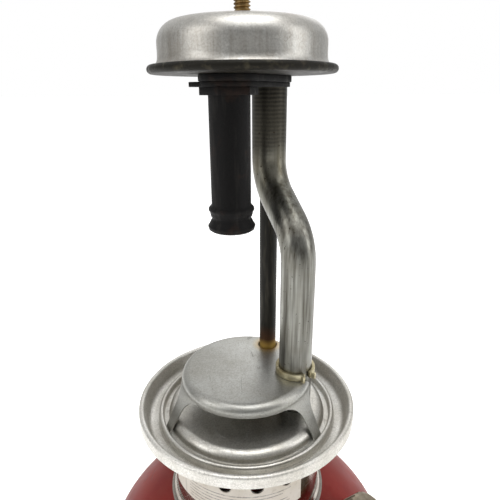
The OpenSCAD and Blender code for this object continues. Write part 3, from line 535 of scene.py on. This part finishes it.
def in_edit(*steps):
    """Run steps in edit mode on all of the active mesh."""
    bpy.ops.object.mode_set(mode="EDIT")
    bpy.ops.mesh.select_all(action="SELECT")
    for step in steps:
        step()
    bpy.ops.object.mode_set(mode="OBJECT")


def apply_all(piece):
    """Make every modifier's result part of the mesh."""
    pick(piece)
    for modifier in list(piece.modifiers):
        bpy.ops.object.modifier_apply(modifier=modifier.name)


def settle(piece, name, material, slot, body, *replaced, smooth=35):
    """Name a finished piece, freeze its place into its mesh, dress it and let it ride."""
    apply_all(piece)
    bpy.ops.object.transform_apply(location=True, rotation=True, scale=True)
    bpy.ops.object.shade_smooth_by_angle(angle=math.radians(smooth))
    piece.name = piece.data.name = name
    dress(piece, material)
    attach(piece, body)
    if replaced:
        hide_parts(*replaced)
    print(name, len(piece.data.polygons), "faces on", body)
    return piece


def without_folds(piece):
    """Cut every face into triangles and drop those that lie folded back to back."""
    apply_all(piece)
    in_edit(bpy.ops.mesh.quads_convert_to_tris,
            lambda: bpy.ops.mesh.remove_doubles(threshold=WELD))
    seen = {}
    for face in piece.data.polygons:
        seen.setdefault(frozenset(face.vertices), []).append(face.index)
    folded = {index for group in seen.values() if len(group) > 1 for index in group}
    choose_faces(piece, lambda face: face.index in folded)
    if folded:
        bpy.ops.object.mode_set(mode="EDIT")
        bpy.ops.mesh.delete(type="FACE")
        bpy.ops.object.mode_set(mode="OBJECT")


body_of = {node: body for body, members in frame["record"]["behaviour"]["bodies"].items() for node in members}
slot_of = {part["node"]: part["material_slot"] for part in frame["record"]["subparts"]}


def rounded(node, material, width=0.25 * MM, segments=2, sharp=32, smooth=40):
    """A copy of a measured part with its sharp edges rounded by a small width."""
    piece = bpy.data.objects.new(node + "_rounded", nodes[node].data.copy())
    scene.collection.objects.link(piece)
    pick(piece)
    in_edit(bpy.ops.mesh.customdata_custom_splitnormals_clear,
            lambda: bpy.ops.mesh.remove_doubles(threshold=2 * WELD),
            lambda: bpy.ops.mesh.dissolve_limited(angle_limit=math.radians(0.1 if width else 0)),
            lambda: bpy.ops.mesh.normals_make_consistent(inside=False))
    if width:
        bevel = piece.modifiers.new("edges", "BEVEL")
        bevel.limit_method, bevel.angle_limit = "ANGLE", math.radians(sharp)
        bevel.width, bevel.segments, bevel.use_clamp_overlap = width, segments, True
    without_folds(piece)
    return settle(piece, node + "_rounded", material, slot_of[node], body_of[node], node, smooth=smooth)


# %% Round the edges that show
for node, material, width in [
        ("filler_cap", cap_metal, 0.22), ("pump_knob", knob_metal, 0.25), ("pump_cover", knob_metal, 0.35),
        ("pump_screws", plated_steel, 0.12), ("valve_wheel", black_plastic, 0.5), ("wheel_screw", plated_steel, 0.15),
        ("direction_disc", plated_steel, 0.12), ("disc_nut", plated_steel, 0.2), ("packing_nut", brass, 0.3),
        ("valve_body", brass, 0.3), ("cleaner_nut", brass, 0.25), ("cleaner_lever", plated_steel, 0.3),
        ("generator_nut", brass, 0.3), ("burner_locknut", casting_scale, 0.25), ("manifold", casting_scale, 0.4),
        ("retainer_plate", casting_scale, 0.25), ("tube_clip", clip_metal, 0.2)]:
    rounded(node, material, width * MM)

# %% [markdown]
# The large turned shells have rolled edges already. They only lose the seams between their flat faces, so that
# light runs smoothly over them.

# %% Smooth the large turned shells
for node, material in [
        ("fount_dome", red_enamel), ("fount_base", red_enamel), ("collar", nickel_plate),
        ("globe_rest", dish_metal), ("base_plate", plate_metal), ("heat_shield", shield_metal),
        ("mixing_tube", tube_steel), ("generator_tube", generator_scale), ("burner_tube", burner_scale),
        ("chamber_base", rim_scale), ("chamber_dome", dome_metal)]:
    rounded(node, material, 0)

# %% [markdown]
# ## Finishes for the parts that stay
# Every other measured part already has its real shape. It only needs its finish in place of the plain colour.

# %% Dress the measured parts
finish_of = {
    tab_card: ["rest_tab"],
    burner_scale: ["burner_screen"],
    brass: ["filler_neck", "pump_barrel", "check_valve", "air_stem", "valve_bushing", "fuel_pickup",
            "needle_carrier", "generator_tip", "ring_nut", "stud_nut"],
    plated_steel: ["plunger_rod", "cup_washers", "valve_stem", "cleaner_stem", "cleaning_needle", "cap_insert"],
    leather: ["pump_cup"],
    rubber: ["cap_gasket", "valve_packing"],
}
for material, members in finish_of.items():
    for node in members:
        dress(nodes[node], material)
print(sum(len(m) for m in finish_of.values()), "measured parts dressed")

# %% [markdown]
# ## The label on the collar
# A paper-like sticker covers most of the collar's front. It only has to read as a printed notice, so thin grey
# rules of uneven length stand for its lines. Height picks the rule, and the angle round the lantern gives where
# it starts and ends. A fold runs up its left part as a raised crease, with painted shade laid along it, and its
# paper has yellowed in clouds.

# %% Label
label_paper, tree, shader, at = finish("label_paper")
label_low, label_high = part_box("collar_label")
axes = add(tree, "ShaderNodeSeparateXYZ", {0: at}).outputs
turn = maths(tree, "ARCTAN2", axes[0], maths(tree, "MULTIPLY", axes[1], -1.0))
RULE_STEP, RULE_SHARE = 1.75 * MM, 0.3    # height of a row, and how much of it is ink
RULES_START, FOLD_TURN, FOLD_WIDTH = -0.8, -0.89, 0.012    # radians round the collar
HOLES_BELOW_TOP, BOTTOM_MARGIN = 10.5 * MM, 1.2 * MM
row = maths(tree, "DIVIDE", maths(tree, "SUBTRACT", axes[2], label_low.z), RULE_STEP)
inside_row = maths(tree, "LESS_THAN", maths(tree, "FRACT", row), RULE_SHARE)
chance = add(tree, "ShaderNodeTexWhiteNoise", {"W": maths(tree, "FLOOR", row)}, noise_dimensions="1D").outputs[0]
ends_at = maths(tree, "ADD", maths(tree, "MULTIPLY", chance, 0.3), 0.28)
started = maths(tree, "GREATER_THAN", turn, RULES_START)
running = maths(tree, "LESS_THAN", turn, ends_at)
below_holes = maths(tree, "LESS_THAN", axes[2], label_high.z - HOLES_BELOW_TOP)
above_edge = maths(tree, "GREATER_THAN", axes[2], label_low.z + BOTTOM_MARGIN)
ink = inside_row
for part in (started, running, below_holes, above_edge):
    ink = maths(tree, "MULTIPLY", ink, part)
fade = add(tree, "ShaderNodeTexNoise", {"Vector": at, "Scale": 900.0, "Detail": 2.0}).outputs[0]
ink = maths(tree, "MULTIPLY", ink, ranged(tree, fade, 0.36, 0.56, 0.35, 0.95))
# The fold's thin band serves two uses: a raised crease in the bump, and painted shade along it in the colour.
fold_crease_and_shade = maths(tree, "LESS_THAN", maths(tree, "ABSOLUTE", maths(tree, "ADD", turn, -FOLD_TURN)), FOLD_WIDTH)
yellowed = place(tree, patches, Vector=at, Scale=90.0, Edge=0.5, Softness=0.2)
grubby = place(tree, patches, Vector=at, Scale=500.0, Edge=0.63, Softness=0.06)
colour = mixed(tree, yellowed, rgb(206, 200, 190), rgb(190, 182, 168))
colour = laid(tree, colour, grubby, 0.35, rgb(150, 140, 122))
# Painted shade: a darker band along the fold, standing in for the shadow in its crease.
colour = laid(tree, colour, fold_crease_and_shade, 0.45, rgb(140, 134, 124))
colour = laid(tree, colour, ink, 0.8, rgb(92, 90, 88))
wire(tree, shader, colour, ranged(tree, yellowed, 0, 1, 0.42, 0.55),
     height=total(tree, (fold_crease_and_shade, 1.0), (grubby, -0.4)), depth=0.05 * MM)
dress(nodes["collar_label"], label_paper)
print("label from", round(label_low.z / MM, 1), "to", round(label_high.z / MM, 1), "mm")

# %% [markdown]
# ## The stud's thread
# The hood is held by a nut on this brass stud. A thread is one small zigzag carried round and up at the same
# time, which is just what the Screw modifier does with an outline of one pitch. The outline is drawn from one
# point by extruding it four times. The ends are cut square with a bisect that also closes them, and the top is
# drawn in a little so that a nut would start easily.

# %% Cut the thread
PITCH_OF_THREAD, THREAD_DEPTH, NOSE = 1.27 * MM, 0.68 * MM, 0.9 * MM
SPARE_TURNS, STEPS_A_TURN, NOSE_SHRINK = 4, 40, 0.72
stud_low, stud_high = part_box("stud")
crest = (stud_high.x - stud_low.x) / 2
root = crest - THREAD_DEPTH
bpy.ops.object.select_all(action="DESELECT")
bpy.ops.mesh.primitive_plane_add(size=MM, location=(root, 0, stud_low.z - 2 * PITCH_OF_THREAD))
stud = bpy.context.object
bpy.ops.object.transform_apply(location=True)
in_edit(lambda: bpy.ops.mesh.merge(type="CENTER"), *[
    (lambda step=step: bpy.ops.mesh.extrude_region_move(TRANSFORM_OT_translate={"value": step}))
    for step in ((0, 0, PITCH_OF_THREAD * 0.12), (THREAD_DEPTH, 0, PITCH_OF_THREAD * 0.36),
                 (0, 0, PITCH_OF_THREAD * 0.16), (-THREAD_DEPTH, 0, PITCH_OF_THREAD * 0.36))])
helix = stud.modifiers.new("helix", "SCREW")
helix.axis, helix.angle, helix.screw_offset = "Z", math.tau, PITCH_OF_THREAD
helix.iterations = int((stud_high.z - stud_low.z) / PITCH_OF_THREAD) + SPARE_TURNS
helix.steps = helix.render_steps = STEPS_A_TURN
apply_all(stud)
in_edit(lambda: bpy.ops.mesh.remove_doubles(threshold=WELD))
for height, outward in ((stud_low.z, -1), (stud_high.z - NOSE, 1)):
    in_edit(lambda: bpy.ops.mesh.bisect(plane_co=(0, 0, height), plane_no=(0, 0, outward), use_fill=True,
                                        clear_outer=True, threshold=0.0001 * MM))
nose_z = stud_high.z - NOSE - 0.01 * MM
choose_faces(stud, lambda face: face.center.z > nose_z and abs(face.normal.z) > 0.99)
bpy.ops.object.mode_set(mode="EDIT")
bpy.ops.mesh.extrude_region_move(TRANSFORM_OT_translate={"value": (0, 0, NOSE)})
bpy.ops.transform.resize(value=(NOSE_SHRINK, NOSE_SHRINK, 1))
bpy.ops.object.mode_set(mode="OBJECT")
in_edit(lambda: bpy.ops.mesh.normals_make_consistent(inside=False))
settle(stud, "stud_thread", stud_brass, "stud_brass", "fount", "stud", smooth=28)

# %% [markdown]
# The dressing of the lantern ends here.

# %% Finish
print("lantern dressed")
